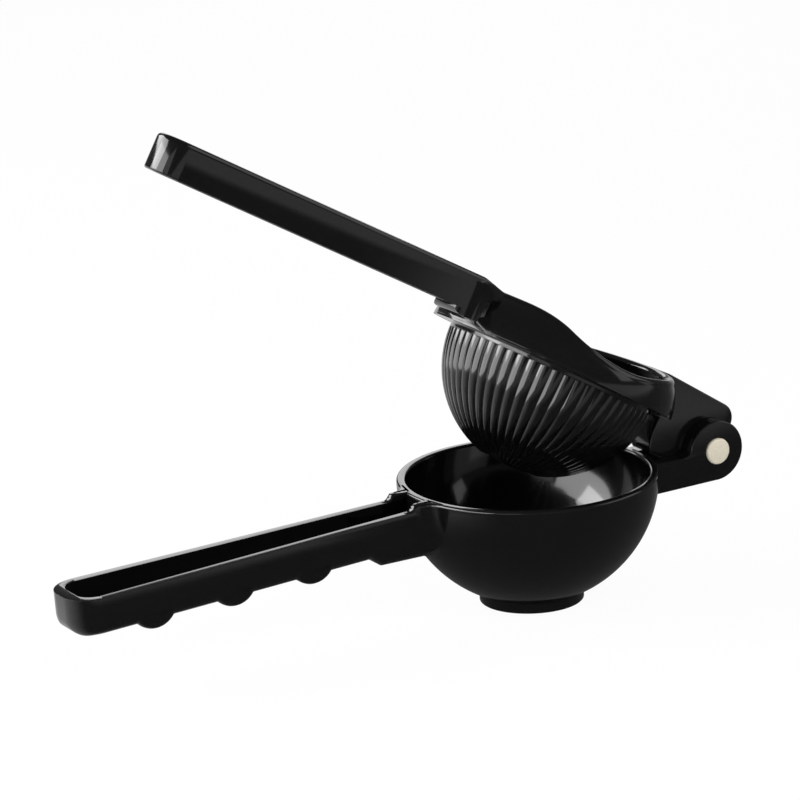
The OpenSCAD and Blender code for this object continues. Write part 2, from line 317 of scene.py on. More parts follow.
def trim(piece: Piece, at: Vector, normal: Vector) -> None:
    """Cuts off what lies beyond a plane and closes the cut.

    Args:
        piece: the mesh object.
        at: a point of the plane, in millimetres.
        normal: the plane's normal, towards what goes.
    """
    edit(piece)
    bpy.ops.mesh.bisect(plane_co=at * MM, plane_no=normal, use_fill=True, clear_outer=True)
    tidy_shell(piece)


def box(name: str, centre: Vector, size: Vector) -> Piece:
    """Adds a box.

    Args:
        name: the object's name.
        centre: its middle in millimetres.
        size: its three lengths in millimetres.

    Returns:
        The new closed solid.
    """
    object_mode()
    bpy.ops.mesh.primitive_cube_add(size=1.0, location=centre * MM, scale=size * MM)
    bpy.ops.object.transform_apply(location=True, scale=True)
    piece = bpy.context.object
    piece.name = name
    return piece


def place(piece: Piece, matrix: Matrix) -> None:
    """Moves a piece's mesh, with the object kept at the origin."""
    piece.data.transform(matrix)
    piece.data.update()


def raised(height: float) -> Matrix:
    """The move straight up by a height in millimetres."""
    return Matrix.Translation((0.0, 0.0, height * MM))


def turned(pivot: Vector, angle: float, rise: float = 0.0) -> Matrix:
    """The turn about a line along Y, and a lift after it.

    Args:
        pivot: a point of the line, in millimetres.
        angle: the turn in degrees.
        rise: the lift in millimetres.

    Returns:
        The matrix for place().
    """
    at = pivot * MM
    turn = Matrix.Rotation(math.radians(angle), 4, "Y")
    return raised(rise) @ Matrix.Translation(at) @ turn @ Matrix.Translation(-at)


def mirrored(piece: Piece) -> Piece:
    """Copies a piece to the other side of the plane Y = 0.

    Args:
        piece: the mesh object.

    Returns:
        The copy, its faces outwards.
    """
    twin = piece.copy()
    twin.data = piece.data.copy()
    bpy.context.scene.collection.objects.link(twin)
    place(twin, Matrix.Scale(-1.0, 4, Vector((0.0, 1.0, 0.0))))
    tidy_shell(twin)
    return twin


def join(name: str, pieces: Sequence[Piece]) -> Piece:
    """Joins pieces into one object, shaded smooth up to its edges.

    Args:
        name: the object's new name.
        pieces: the mesh objects.

    Returns:
        The joined object.
    """
    object_mode()
    for piece in pieces:
        piece.select_set(True)
    whole = pieces[0]
    bpy.context.view_layer.objects.active = whole
    if len(pieces) > 1:
        bpy.ops.object.join()
    whole.name = name
    whole.data.name = name
    bpy.ops.object.shade_smooth_by_angle(angle=SMOOTH_ANGLE)
    object_mode()
    return whole


def fillet_ring(
    name: str, ball: float, half: float, r: float, end: float, side: int, edge: float
) -> Piece:
    """The concave rounding between a round bowl and a flat side that runs into it.

    Args:
        name: the object's name.
        ball: radius of the bowl, centred on the origin.
        half: distance of the flat side from the middle plane.
        r: radius of the rounding.
        end: how far round the bowl it runs down, in degrees.
        side: 1 or -1 for the two sides.
        edge: rounding of its upper edge, in millimetres.

    Returns:
        The closed solid, starting level with the origin on the -X side.
    """
    reach = math.sqrt((ball + r) ** 2 - (half + r) ** 2)
    touch_d, touch_y = reach * ball / (ball + r), (half + r) * ball / (ball + r)
    last = math.degrees(math.atan2(touch_y - half - r, touch_d - reach)) % 360
    hollow = arc(reach, half + r, r, 270, last, 8)
    under, sunk = ball - SUNK, half - SUNK
    inside = [(math.sqrt(under**2 - touch_y**2), touch_y), (math.sqrt(under**2 - half**2), sunk)]
    outline = [(d, side * y) for d, y in hollow + inside + [(reach, sunk)]]
    ring = lathe(name, outline, 14, Turn.ACROSS, angle=end, close=True)

    def on_hollow(at: Vector) -> bool:
        """Whether a place is on the hollow side, level with the origin or above."""
        return at.z > -NEAR and abs(math.hypot(at.x + reach, abs(at.y) - half - r) - r) < NEAR

    round_edges(ring, edge, on_hollow)
    return ring


# ---- finishes


def linear(colour: str) -> tuple[float, float, float, float]:
    """Turns an sRGB hex colour into the linear values that a shader takes."""
    parts = [int(colour[i : i + 2], 16) / 255 for i in (1, 3, 5)]
    return tuple(c / 12.92 if c <= 0.04045 else ((c + 0.055) / 1.055) ** 2.4 for c in parts) + (1.0,)


def feed(node: bpy.types.Node, **values: object) -> bpy.types.Node:
    """Sets a shader node's properties and sockets, and links what comes from another node.

    Args:
        node: the node.
        **values: properties by name, and inputs by name with _ for a space or by number as in0, in1.
            Another node's output is linked, anything else is set.

    Returns:
        The node.
    """
    for key, value in values.items():
        if hasattr(node, key):
            setattr(node, key, value)
            continue
        socket = node.inputs[int(key[2:]) if key[2:].isdigit() else key.replace("_", " ")]
        if isinstance(value, bpy.types.NodeSocket):
            node.id_data.links.new(value, socket)
        else:
            socket.default_value = value
    return node


def add_node(owner: bpy.types.ID, kind: str, **values: object) -> bpy.types.Node:
    """Adds a shader node with its settings and links.

    Args:
        owner: the material or world whose tree gets the node.
        kind: the node's type name, without ShaderNode before it.
        **values: what feed() takes.

    Returns:
        The new node.
    """
    return feed(owner.node_tree.nodes.new("ShaderNode" + kind), **values)


@dataclass(frozen=True)
class Finish:
    """A surface whose colour and roughness drift a little with a noise that follows the piece."""

    name: str
    colours: tuple[str, str]
    roughness: float
    drift: float
    noise_per_m: float
    noise_detail: float

    def start(self) -> tuple[bpy.types.Material, bpy.types.Node, bpy.types.Node]:
        """Builds what the finishes share.

        Returns:
            The material, its shader and its noise.
        """
        material = bpy.data.materials.new(self.name)
        material.use_nodes = True
        where = add_node(material, "TexCoord").outputs["Object"]
        noise = add_node(material, "TexNoise", Vector=where, Scale=self.noise_per_m, Detail=self.noise_detail)
        tone = add_node(material, "ValToRGB", Fac=noise.outputs["Fac"])
        for stop, colour in zip(tone.color_ramp.elements, self.colours):
            stop.color = linear(colour)
        low, high = self.roughness - self.drift, self.roughness + self.drift
        rough = add_node(material, "MapRange", Value=noise.outputs["Fac"], To_Min=low, To_Max=high)
        shader = material.node_tree.nodes["Principled BSDF"]
        feed(shader, Base_Color=tone.outputs["Color"], Roughness=rough.outputs["Result"])
        return material, shader, noise


@dataclass(frozen=True)
class Enamel(Finish):
    """Glossy stoved enamel over a casting: deep colour with a faint waviness under a clear skin."""

    name: str = "black_enamel"
    colours: tuple[str, str] = ("#070708", "#0b0b0c")
    roughness: float = 0.12
    drift: float = 0.03
    noise_per_m: float = 95.0  # waves of about 10 mm
    noise_detail: float = 2.0
    noise_roughness: float = 0.4
    wave_height: float = 0.00003
    wave_strength: float = 0.5
    ior: float = 1.5
    coat: float = 0.35
    coat_roughness: float = 0.05

    def make(self) -> bpy.types.Material:
        """Builds the material."""
        material, shader, wave = self.start()
        feed(wave, Roughness=self.noise_roughness)
        bump = add_node(material, "Bump", Strength=self.wave_strength, Distance=self.wave_height)
        feed(bump, Height=wave.outputs["Fac"])
        feed(shader, IOR=self.ior, Coat_Weight=self.coat, Coat_Roughness=self.coat_roughness)
        feed(shader, Normal=bump.outputs["Normal"])
        return material


@dataclass(frozen=True)
class RivetPlate(Finish):
    """Satin nickel plate on the rivet, with a fine uneven grain."""

    name: str = "rivet_plate"
    colours: tuple[str, str] = ("#ddd3bb", "#f0ead8")
    roughness: float = 0.38
    drift: float = 0.06
    noise_per_m: float = 1400.0  # grain of about 0.7 mm, coarser than the real one, so that it shows
    noise_detail: float = 3.0
    metallic: float = 0.3

    def make(self) -> bpy.types.Material:
        """Builds the material."""
        material, shader, _ = self.start()
        feed(shader, Metallic=self.metallic)
        return material


def dress(piece: Piece, material: bpy.types.Material) -> None:
    """Gives a piece one material."""
    piece.data.materials.clear()
    piece.data.materials.append(material)


# ---- sub-assemblies


@dataclass
class Hinge:
    """Where the two castings meet, read from the frame, in millimetres."""

    x: float
    z: float
    open_angle: float
    below_rim: float = 1.6

    @classmethod
    def from_frame(cls) -> "Hinge":
        """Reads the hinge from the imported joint."""
        joint = frame["joints"][0]
        at = joint["pos_m"]
        return cls(at[0] / MM, at[2] / MM, -joint["range_deg"][0])

    @property
    def rim(self) -> float:
        """Height of the bowl's rim above the table."""
        return self.z + self.below_rim

    def opened(self) -> Matrix:
        """The turn from the closed place to the one at rest."""
        return turned(Vector((self.x, 0.0, self.z)), self.open_angle)


@dataclass
class BowlCasting:
    """The lower casting: bowl, foot, drain holes, trough handle, arms and ears."""

    hinge: Hinge
    enamel: bpy.types.Material
    bowl_r: float
    reach: float
    wall: float = 2.5
    rim_round: float = 0.7
    rim_angle: float = 1.2
    turn_steps: int = 192
    arc_steps: int = 44
    foot_r: float = 14.0
    foot_w: float = 2.6
    foot_h: float = 1.9
    foot_edge_r: float = 0.5
    floor_t: float = 2.4
    drain_r: float = 1.5
    drain_pitch: float = 4.3
    drain_rings: int = 2
    inside: float = 5.0
    shelf: float = 4.1
    shelf_depth: float = 5.0
    shelf_inset: float = 0.02
    step: float = 1.9
    step_angle: float = 30.0
    droop: float = 2.82
    half_root: float = 7.1
    half_tip: float = 9.9
    depth: float = 10.25
    trough_wall: float = 2.4
    trough_lip_r: float = 0.75
    hollow_lid: float = 6.0
    tip_wall: float = 3.3
    edge_r: float = 3.0
    tip_r: float = 8.0
    tip_edge_r: float = 4.1
    tip_steps: int = 18
    root_depth: float = 15.2
    root_length: float = 13.2
    root_top: float = 4.5
    root_inside: float = 8.0
    root_slope: float = 1.3
    root_edge_r: float = 0.8
    bump_start: float = 69.5
    bump_pitch: float = 23.3
    bump_count: int = 3
    bump_r: float = 6.5
    bump_drop: float = 1.9
    bump_edge_r: float = 1.8
    root_fillet: float = 5.5
    root_fillet_turn: float = 25.0
    flush: float = 0.1
    overlap: float = 0.2
    ear_in: float = 4.65
    ear_t: float = 4.4
    ear_r: float = 8.3
    ear_edge_r: float = 2.1
    ear_inner_r: float = 0.6
    arm_inside: float = 6.0
    arm_drop: float = 1.8
    arm_slope: float = 3.0
    arm_deeper: float = 0.5
    arm_curve_r: float = 2.5
    arm_fillet: float = 2.0
    arm_fillet_turn: float = 14.0
    arm_fillet_dip: float = 2.7

    def trimmed(self, piece: Piece) -> Piece:
        """Ends a piece inside the bowl's wall."""
        object_mode()
        middle = (self.bowl_r - self.wall / 2) * MM
        bpy.ops.mesh.primitive_uv_sphere_add(segments=64, ring_count=32, radius=middle)
        cut_away(piece, bpy.context.object)
        return piece

    def bowl(self) -> Piece:
        """Spins the bowl with its foot ring and rounded rim, and drills the drain holes."""
        inner = self.bowl_r - self.wall
        under = self.hinge.rim - self.foot_h
        floor = under - self.floor_t
        start = math.degrees(math.asin(self.foot_r / self.bowl_r)) - 90
        stop = math.degrees(math.asin(floor / inner))
        ring = self.foot_r - self.foot_w
        edge, r = self.foot_edge_r, self.rim_round
        foot_z = edge - self.hinge.rim
        outline = [(0.0, -under), (ring, -under), (ring, foot_z)]
        outline += arc(ring + edge, foot_z, edge, 180, 270, 3)[1:]
        outline += arc(self.foot_r - edge, foot_z, edge, 270, 360, 3)
        outline += arc(0, 0, self.bowl_r, start, -self.rim_angle, self.arc_steps)
        outline += arc(self.bowl_r - r, -r, r, 0, 90, 5)
        outline += arc(inner + r, -r, r, 90, 180, 5)
        outline += arc(0, 0, inner, -self.rim_angle, -stop, self.arc_steps)
        outline += [(0.0, -floor)]
        bowl = lathe("bowl", outline, self.turn_steps)
        cut_away(bowl, self.drill())
        return bowl

    def drill(self) -> Piece:
        """One cutter with a rod for each drain hole: a middle one and rings of six and twelve."""
        rods = []
        middle = self.hinge.rim - self.foot_h - self.floor_t / 2
        for ring in range(self.drain_rings + 1):
            for k in range(max(1, 6 * ring)):
                turn = math.radians(k * 60 / max(1, ring))
                at = Vector((math.cos(turn), math.sin(turn), 0.0)) * ring * self.drain_pitch
                object_mode()
                bpy.ops.mesh.primitive_cylinder_add(
                    vertices=24,
                    radius=self.drain_r * MM,
                    depth=3 * self.floor_t * MM,
                    location=(at - Vector((0, 0, middle))) * MM,
                )
                bpy.ops.object.transform_apply(location=True)
                rods.append(bpy.context.object)
        return join("drill", rods)

    def half_at(self, x: float) -> float:
        """Half the trough's width at a distance from the bowl's centre."""
        grow = (self.half_tip - self.half_root) / (self.reach - self.tip_r - self.bowl_r)
        return self.half_root + (x - self.bowl_r) * grow

    def trough_bar(self, name: str, wall: float, tip_wall: float, lid: float) -> Piece:
        """The trough's outside, or its inside when the wall is taken off.

        Args:
            name: the object's name.
            wall: taken off the sides and the bottom.
            tip_wall: taken off the tip.
            lid: height above the trough's open edge.

        Returns:
            The closed bar, its open edge level with the origin.
        """
        nose = self.tip_r - tip_wall
        edge = self.tip_edge_r - wall / 2
        centre = self.reach - tip_wall - nose
        depth = self.depth - wall
        start = self.bowl_r - self.inside
        rows = [Station(-x, self.half_at(x) - wall, depth) for x in (start, (start + centre) / 2)]
        full = self.half_at(centre) - wall
        for k in range(self.tip_steps + 1):
            turn = math.radians(90 * k / self.tip_steps)
            over = max(0.0, edge - nose * (1 - math.sin(turn)))
            less = edge - math.sqrt(edge**2 - over**2)
            x, half = centre + nose * math.sin(turn), full - nose * (1 - math.cos(turn))
            rows.append(Station(-x, half, depth - less))
        section = rounded_section(rows[0].half, depth, self.edge_r - wall / 2, lid)
        return loft(name, section, rows)

    def drooped(self, piece: Piece) -> Piece:
        """Puts a piece that was drawn level at the trough's droop, below the step."""
        pivot = Vector((-self.bowl_r - self.shelf, 0.0, 0.0))
        place(piece, turned(pivot, -self.droop, -self.step))
        return piece

    def hollow(self) -> Piece:
        """The cutter that opens the trough."""
        return self.drooped(self.trough_bar("hollow", self.trough_wall, self.tip_wall, self.hollow_lid))

    def trough(self) -> Piece:
        """The open trough with softened edges."""
        bar = self.drooped(self.trough_bar("trough", 0.0, 0.0, 0.0))
        cut_away(bar, self.hollow())
        slope = math.tan(math.radians(self.droop))
        middle = -self.step - self.depth / 2
        round_edges(bar, self.trough_lip_r, lambda at: at.z > middle + (at.x + self.bowl_r) * slope)
        return self.trimmed(bar)

    def shelf_block(self) -> Piece:
        """The level stretch of the two walls beside the bowl, ending in an S-shaped step."""
        r, tilt, low = self.step, self.step_angle, self.shelf_depth
        end, back = self.bowl_r + self.shelf, self.bowl_r - self.inside
        run = r * math.cos(math.radians(tilt))
        far = end + run + 1.0
        outline = [(-back, 0.0)] + arc(run - end, -r, r, 90, 180 - tilt, 6)
        outline += arc(-end - run, 0.0, r, -tilt, -90, 6)[1:]
        outline += [(-far, -r - self.overlap), (-far, -low), (-back, -low)]
        half = self.half_at(end) - self.shelf_inset
        block = prism("shelf", [Vector((x, -half, z)) for x, z in outline], Vector((0.0, 2 * half, 0.0)))
        cut_away(block, self.hollow())
        lowest, nearest = -r - self.overlap, -self.bowl_r + 3
        round_edges(block, self.rim_round, lambda at: at.z > lowest and at.x < nearest, angle=60)
        return self.trimmed(block)

    def root_block(self) -> Piece:
        """The deeper block under the trough's root, with a sloped end."""
        end = self.bowl_r + self.root_length
        low = self.depth + self.step
        slope_end = end + self.root_slope * (self.root_depth - low)
        start = self.bowl_r - self.root_inside
        places = ((start, self.root_depth), (end, self.root_depth), (slope_end, low))
        rows = [Station(-x, self.half_at(x) - self.flush, depth) for x, depth in places]
        section = rounded_section(rows[0].half, self.root_depth, self.edge_r, -self.root_top)
        block = loft("root", section, rows)
        highest, nearest = -11.0, -self.bowl_r - 4
        round_edges(block, self.root_edge_r, lambda at: at.z < highest and at.x < nearest, angle=20)
        cut_away(block, self.hollow())
        return self.trimmed(block)

    def bump(self, number: int) -> Piece:
        """One finger bump: the lower part of a barrel that lies across the trough."""
        x = self.bump_start + number * self.bump_pitch
        half = self.half_at(x) - self.flush
        edge = self.bump_edge_r
        outline = [(0.0, -half)] + arc(self.bump_r - edge, edge - half, edge, -90, 0, 6)
        outline += arc(self.bump_r - edge, half - edge, edge, 0, 90, 6) + [(0.0, half)]
        barrel = lathe(f"bump_{number}", outline, 72, Turn.ACROSS)
        centre = Vector((-x, 0.0, self.bump_r - self.depth - self.bump_drop))
        place(barrel, Matrix.Translation(centre * MM))
        top = Vector((0.0, 0.0, self.trough_wall - self.depth - self.overlap))
        trim(barrel, top, Vector((0.0, 0.0, 1.0)))
        return self.drooped(barrel)

    def ear(self) -> Piece:
        """One arm that ends in a round ear, its outer edges well rounded."""
        hx, hz = self.hinge.x, -self.hinge.below_rim
        curve = self.arm_curve_r
        rise = curve - self.arm_drop - hz
        cx = hx - math.sqrt((self.ear_r + curve) ** 2 - rise**2)
        touch = math.degrees(math.asin(rise / (self.ear_r + curve)))
        back = self.bowl_r - self.arm_inside
        outline = arc(hx, hz, self.ear_r, -90 - self.arm_slope, 180 - touch, 40)
        outline += arc(cx, hz + rise, curve, -touch, -90, 8)[1:]
        outline += [(back, -self.arm_drop), (back, hz - self.ear_r - self.arm_deeper)]
        points = [Vector((x, self.ear_in, z)) for x, z in outline]
        arm = prism("ear", points, Vector((0.0, self.ear_t, 0.0)))
        first, middle, face = back + 0.5, self.ear_in + self.ear_t / 2, self.ear_in + NEAR
        round_edges(arm, self.ear_edge_r, lambda at: at.x > first and at.y > middle, segments=6, angle=60)
        round_edges(arm, self.ear_inner_r, lambda at: at.x > first and at.y < face, segments=3, angle=60)
        return self.trimmed(arm)

    def fillets(self) -> list[Piece]:
        """The concave roundings where trough and arms run into the bowl."""
        ball, half, arm_half = self.bowl_r, self.half_root - self.flush, self.ear_in + self.ear_t
        low = self.edge_r / 2 - self.root_depth
        root_turn, arm_turn = self.root_fillet_turn, self.arm_fillet_turn
        made = []
        for side in (-1, 1):
            root = fillet_ring("trough_fillet", ball, half, self.root_fillet, root_turn, side, self.rim_round)
            trim(root, Vector((0.0, side * half, low)), Vector((0.0, side, -1.0)))
            arm = fillet_ring("arm_fillet", ball, arm_half, self.arm_fillet, arm_turn, side, self.ear_inner_r)
            place(arm, Matrix.Rotation(math.pi, 4, "Z"))
            place(arm, Matrix.Rotation(math.radians(self.arm_fillet_dip), 4, "Y"))
            made += [root, arm]
        return made

    def build(self) -> Piece:
        """Models, joins and dresses the casting."""
        bumps = [self.bump(k) for k in range(self.bump_count)]
        ear = self.ear()
        parts = [self.bowl(), self.trough(), self.shelf_block(), self.root_block(), ear, mirrored(ear)]
        whole = join("bowl_side_casting", parts + bumps + self.fillets())
        place(whole, raised(self.hinge.rim))
        dress(whole, self.enamel)
        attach(whole, "bowl_side")
        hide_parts("bowl_casting")
        return whole


@dataclass
class PressCasting:
    """The upper casting: fluted cup, scooped collar, flared channel handle and tongue."""

    hinge: Hinge
    enamel: bpy.types.Material
    bowl_r: float
    cup_r: float = 29.2
    cup_wall: float = 2.4
    flute_count: int = 54
    flute_depth: float = 0.55
    flute_sunk: float = 0.5
    flute_share: float = 0.96
    flute_slope: float = 42.0
    flute_end: float = 74.0
    flute_rows: int = 22
    flute_bends: int = 8
    rim_gap: float = 0.3
    collar_inset: float = 0.5
    collar_top: float = 12.2
    scoop_low: float = 6.4
    scoop_r: float = 41.0
    shoulder_r: float = 27.0
    hinge_bend_r: float = 36.0
    hinge_rise: float = 10.1
    handle_rise: float = 13.5
    curve_r: float = 14.0
    collar_wall: float = 2.6
    collar_rows: int = 14
    cap_steps: int = 8
    edge_rule_r: float = 31.5
    steepest: float = 0.98
    reach: float = 135.8
    half: float = 6.3
    height: float = 9.8
    channel_wall: float = 2.3
    channel_edge_r: float = 0.6
    top_r: float = 1.4
    tip_r: float = 5.7
    droop: float = 1.15
    handle_over_collar: float = 1.45
    flare: float = 5.0
    flare_slope: float = 38.0
    flare_edge_r: float = 1.5
    flare_sunk: float = 0.5
    flare_inside: float = 1.0
    shelf: float = 4.2
    shelf_lift: float = 1.7
    shelf_tall: float = 6.0
    shelf_inside: float = 4.0
    flush: float = 0.1
    shelf_edge_r: float = 2.0
    tongue_half: float = 4.5
    tongue_step: float = 0.4
    tongue_fall: float = 0.9
    tongue_over: float = 4.1
    web_low: float = -9.7
    web_gap: float = 0.3
    hub_r: float = 7.6
    tongue_corner_r: float = 4.5
    tongue_edge_r: float = 0.8
    collar_steps: int = 216

    @property
    def collar_r(self) -> float:
        """Outer radius of the collar at its foot."""
        return self.bowl_r - self.collar_inset

    @property
    def groove_r(self) -> float:
        """Radius of the cup between its ridges."""
        return self.cup_r - self.flute_depth

    def edge_height(self, x: float) -> float:
        """Height of the collar's upper edge: an arc, a shoulder at the handle, a straight rise at the hinge.

        Args:
            x: distance from the cup's axis, towards the hinge.

        Returns:
            The height above the rim's plane.
        """
        rise = math.radians(self.hinge_rise)
        bend_x = self.hinge_bend_r * math.sin(rise)
        if x > bend_x:
            bend_z = self.scoop_low + self.hinge_bend_r * (1 - math.cos(rise))
            return bend_z + (x - bend_x) * math.tan(rise)
        if x > 0.0:
            return self.scoop_low + self.hinge_bend_r - math.sqrt(self.hinge_bend_r**2 - x**2)
        arc_z = self.scoop_low + self.scoop_r
        shoulder_z = self.collar_top - self.shoulder_r
        both = self.scoop_r + self.shoulder_r
        shoulder_x = math.sqrt(both**2 - (arc_z - shoulder_z) ** 2)
        touch_x = shoulder_x * self.scoop_r / both
        if abs(x) <= touch_x:
            return arc_z - math.sqrt(self.scoop_r**2 - x**2)
        if abs(x) < shoulder_x:
            return shoulder_z + math.sqrt(self.shoulder_r**2 - (shoulder_x - abs(x)) ** 2)
        return self.collar_top

    def collar_radius(self, z: float, inset: float) -> float:
        """Radius of the collar's wall at a height, on its outside or inset from it."""
        rise = min(z - self.rim_gap, self.curve_r * self.steepest)
        return self.collar_r - self.curve_r - inset + math.sqrt(self.curve_r**2 - rise**2)

    def collar(self) -> Piece:
        """The collar's curved wall. Its rows run parallel to the scooped edge, which is fully rounded.

        No operator follows the scoop's rule, so the spun wall's columns are set to it one by one. The
        spun radii only mark where a vertex belongs: outside, on the edge's rounding or inside.
        """
        rows, cap = self.collar_rows, self.cap_steps
        outside, crest, within = 100.0, 200.0, 300.0
        base = self.rim_gap
        outline = [(outside, base + k) for k in range(rows)]
        outline += [(crest + k, base + rows) for k in range(cap + 1)]
        outline += [(within, base + rows - k) for k in range(1, rows + 1)]
        wall = lathe("collar", outline, self.collar_steps)
        edge_r = self.collar_wall / 2
        for v in wall.data.vertices:
            x, y, z = v.co / MM
            d = math.hypot(x, y)
            way = Vector((x / d, y / d, 0.0))
            top = self.edge_height(way.x * self.edge_rule_r) - edge_r
            mark = d - crest
            if -0.5 < mark < cap + 0.5:
                turn = math.pi * mark / cap
                middle = self.collar_radius(top, edge_r)
                r, h = middle + edge_r * math.cos(turn), top + edge_r * math.sin(turn)
            else:
                share = (z - base) / rows
                h = base + (top - base) * share
                r = self.collar_radius(h, 0.0 if mark < 0 else self.collar_wall)
            v.co = (way * r + Vector((0.0, 0.0, h))) * MM
        tidy_shell(wall)
        return wall

    def fitted(self, piece: Piece) -> Piece:
        """Ends a piece in the middle of the collar's wall and slopes its top down to the collar's edge."""
        edge_r = self.collar_wall / 2
        top = self.collar_top - edge_r
        steps = 12
        heights = [self.rim_gap + (top - self.rim_gap) * k / steps for k in range(steps + 1)]
        wall = [(self.collar_radius(h, edge_r), h) for h in heights]
        crest = wall[-1][0]
        outline = [(0.0, -1.0), (wall[0][0], -1.0)] + wall + [(crest, 3 * top), (0.0, 3 * top)]
        cut_away(piece, lathe("core", outline, 96))
        slope = math.radians(self.handle_rise)
        trim(piece, Vector((-crest, 0.0, self.collar_top)), Vector((math.sin(slope), 0.0, math.cos(slope))))
        return piece

    def cup(self) -> Piece:
        """The hollow cup and the flange that carries the collar."""
        groove, inner = self.groove_r, self.groove_r - self.cup_wall + self.flute_depth / 2
        under, over = self.rim_gap, self.rim_gap + self.cup_wall
        out = self.collar_r
        ledge, neck, foot, soft = 0.4, 0.5, 0.6, 1.2
        outline = arc(0, 0, groove, -90, -2.4, 60)
        outline += arc(self.cup_r - ledge, -2 * ledge, ledge, -90, 0, 3)
        outline += arc(self.cup_r + neck, under - neck, neck, 180, 90, 4)
        outline += arc(out - foot, under + foot, foot, -90, 0, 4)
        outline += [(out - self.collar_wall / 2, under + 1.6)]
        outline += arc(out - self.collar_wall - soft, over + soft, soft, 0, -90, 5)
        outline += arc(inner + soft, over - soft, soft, 90, 180, 5)
        outline += arc(0, 0, inner, 0, -90, 44)
        return lathe("cup", outline, self.collar_steps)

    def ridges(self) -> Piece:
        """One tapered ridge of lens section from the rim to the nose, copied round the cup by a spin."""
        root = self.groove_r - self.flute_sunk
        pitch = 2 * math.pi / self.flute_count
        rows, bends = self.flute_rows, self.flute_bends
        tall = self.cup_r - root
        lens = math.radians(self.flute_slope)
        level = 1 - self.flute_depth / tall
        section = [(1.0, 0.0)]
        for k in range(bends + 1):
            turn = lens * (1 - 2 * k / bends)
            crest = (math.cos(turn) - math.cos(lens)) / (1 - math.cos(lens))
            section.append((math.sin(turn) / math.sin(lens), level + (1 - level) * crest))
        section.append((-1.0, 0.0))
        piece = draw("ridge", [Vector((root + h, y, 0.0)) for y, h in section], fill=True)
        half0 = self.cup_r * pitch * self.flute_share / 2
        edit(piece)
        here = Vector((root, 0.0, 0.0)) * MM
        bpy.ops.transform.resize(value=(tall, half0, 1.0), center_override=here)
        last = 1.0
        turn_each = math.radians(self.flute_end) / rows
        swing = Matrix.Rotation(turn_each, 4, "Y")
        for k in range(1, rows + 1):
            bpy.ops.mesh.extrude_region_move()
            turn = k * turn_each
            there = Vector((math.cos(turn), 0.0, -math.sin(turn))) * root * MM
            bpy.ops.object.mode_set(mode="OBJECT")
            for v in piece.data.vertices:
                if v.select:
                    v.co = swing @ v.co
            bpy.ops.object.mode_set(mode="EDIT")
            width = math.cos(turn)
            bpy.ops.transform.resize(value=(1.0, width / last, 1.0), center_override=there)
            last = width
        tidy_shell(piece)
        edit(piece)
        axis = Turn.UPRIGHT.value
        bpy.ops.mesh.spin(steps=self.flute_count, dupli=True, angle=2 * math.pi, center=(0, 0, 0), axis=axis)
        tidy_shell(piece)
        return piece

    def handle(self) -> Piece:
        """The straight handle, open underneath, with a rounded tip."""
        start, tip, wall = self.curve_r - self.bowl_r, -self.reach, self.channel_wall
        centre = Vector(((start + tip) / 2, 0, -self.height / 2))
        bar = box("handle", centre, Vector((start - tip, 2 * self.half, self.height)))
        self.round_tip(bar, tip, self.tip_r)
        round_edges(bar, self.top_r, lambda at: at.z > -NEAR, segments=6, angle=50)
        inner_start, inner_tip = -self.bowl_r - self.shelf - wall, tip + wall
        centre = Vector(((inner_start + inner_tip) / 2, 0, -self.height / 2 - wall))
        size = Vector((inner_start - inner_tip, 2 * (self.half - wall), self.height))
        channel = box("channel", centre, size)
        self.round_tip(channel, inner_tip, self.tip_r - wall)
        cut_away(bar, channel)
        low, last = 0.1 - self.height, start - 1.0
        round_edges(bar, self.channel_edge_r, lambda at: at.z < low and at.x < last, angle=50)
        pivot = Vector((-self.collar_r, 0.0, 0.0))
        place(bar, turned(pivot, -self.droop, self.collar_top + self.handle_over_collar))
        return self.fitted(bar)

    def round_tip(self, bar: Piece, tip: float, r: float) -> None:
        """Rounds the two upright edges at a bar's tip.

        Args:
            bar: the mesh object.
            tip: where the bar ends.
            r: the rounding in plan.
        """
        edit(bar, edges=True)
        bpy.ops.object.mode_set(mode="OBJECT")
        mesh = bar.data
        for e in mesh.edges:
            a, b = (mesh.vertices[i].co / MM for i in e.vertices)
            e.select = abs(a.x - tip) < NEAR and abs(b.x - tip) < NEAR and abs(a.z - b.z) > 10 * NEAR
        bpy.ops.object.mode_set(mode="EDIT")
        bpy.ops.mesh.bevel(offset=r * MM, segments=12, profile=0.5, affect="EDGES", clamp_overlap=False)
        tidy_shell(bar)

    def shelf_block(self) -> Piece:
        """The block under the handle's root, a little above the collar's foot."""
        back, end = -self.bowl_r + self.shelf_inside, -self.bowl_r - self.shelf
        middle = self.rim_gap + self.shelf_lift + self.shelf_tall / 2
        size = Vector((back - end, 2 * self.half - self.flush, self.shelf_tall))
        block = box("root_shelf", Vector(((back + end) / 2, 0, middle)), size)
        round_edges(block, self.shelf_edge_r, lambda at: at.x < back - 1, segments=5, angle=50)
        return block

    def wing(self) -> Piece:
        """The concave flare from the handle's side into the collar, its top falling off outwards."""
        r = self.flare
        wall_r = self.collar_r - self.flare_sunk
        cy = self.half + r
        cx = -math.sqrt((wall_r + r) ** 2 - cy**2)
        on_wall = math.degrees(math.atan2(-cy, -cx))
        outline = arc(cx, cy, r, 270, 360 + on_wall, 14)
        last = outline[-1]
        inner = (self.bowl_r - self.curve_r) / self.bowl_r
        deep = self.half - self.flare_inside
        outline += [(last[0] * inner, last[1] * inner), (-self.bowl_r * inner, deep), (cx, deep)]
        low, tall = self.rim_gap + self.shelf_lift, self.collar_top + 4.0
        wing = prism("wing", [Vector((x, y, low)) for x, y in outline], Vector((0.0, 0.0, tall)))
        slope = math.radians(self.flare_slope)
        at = Vector((0.0, self.half - 0.6, self.collar_top + self.handle_over_collar - 0.5))
        trim(wing, at, Vector((0.0, math.sin(slope), math.cos(slope))))
        wing = self.fitted(wing)
        side, inside = self.half - 0.9, self.bowl_r - 2.0

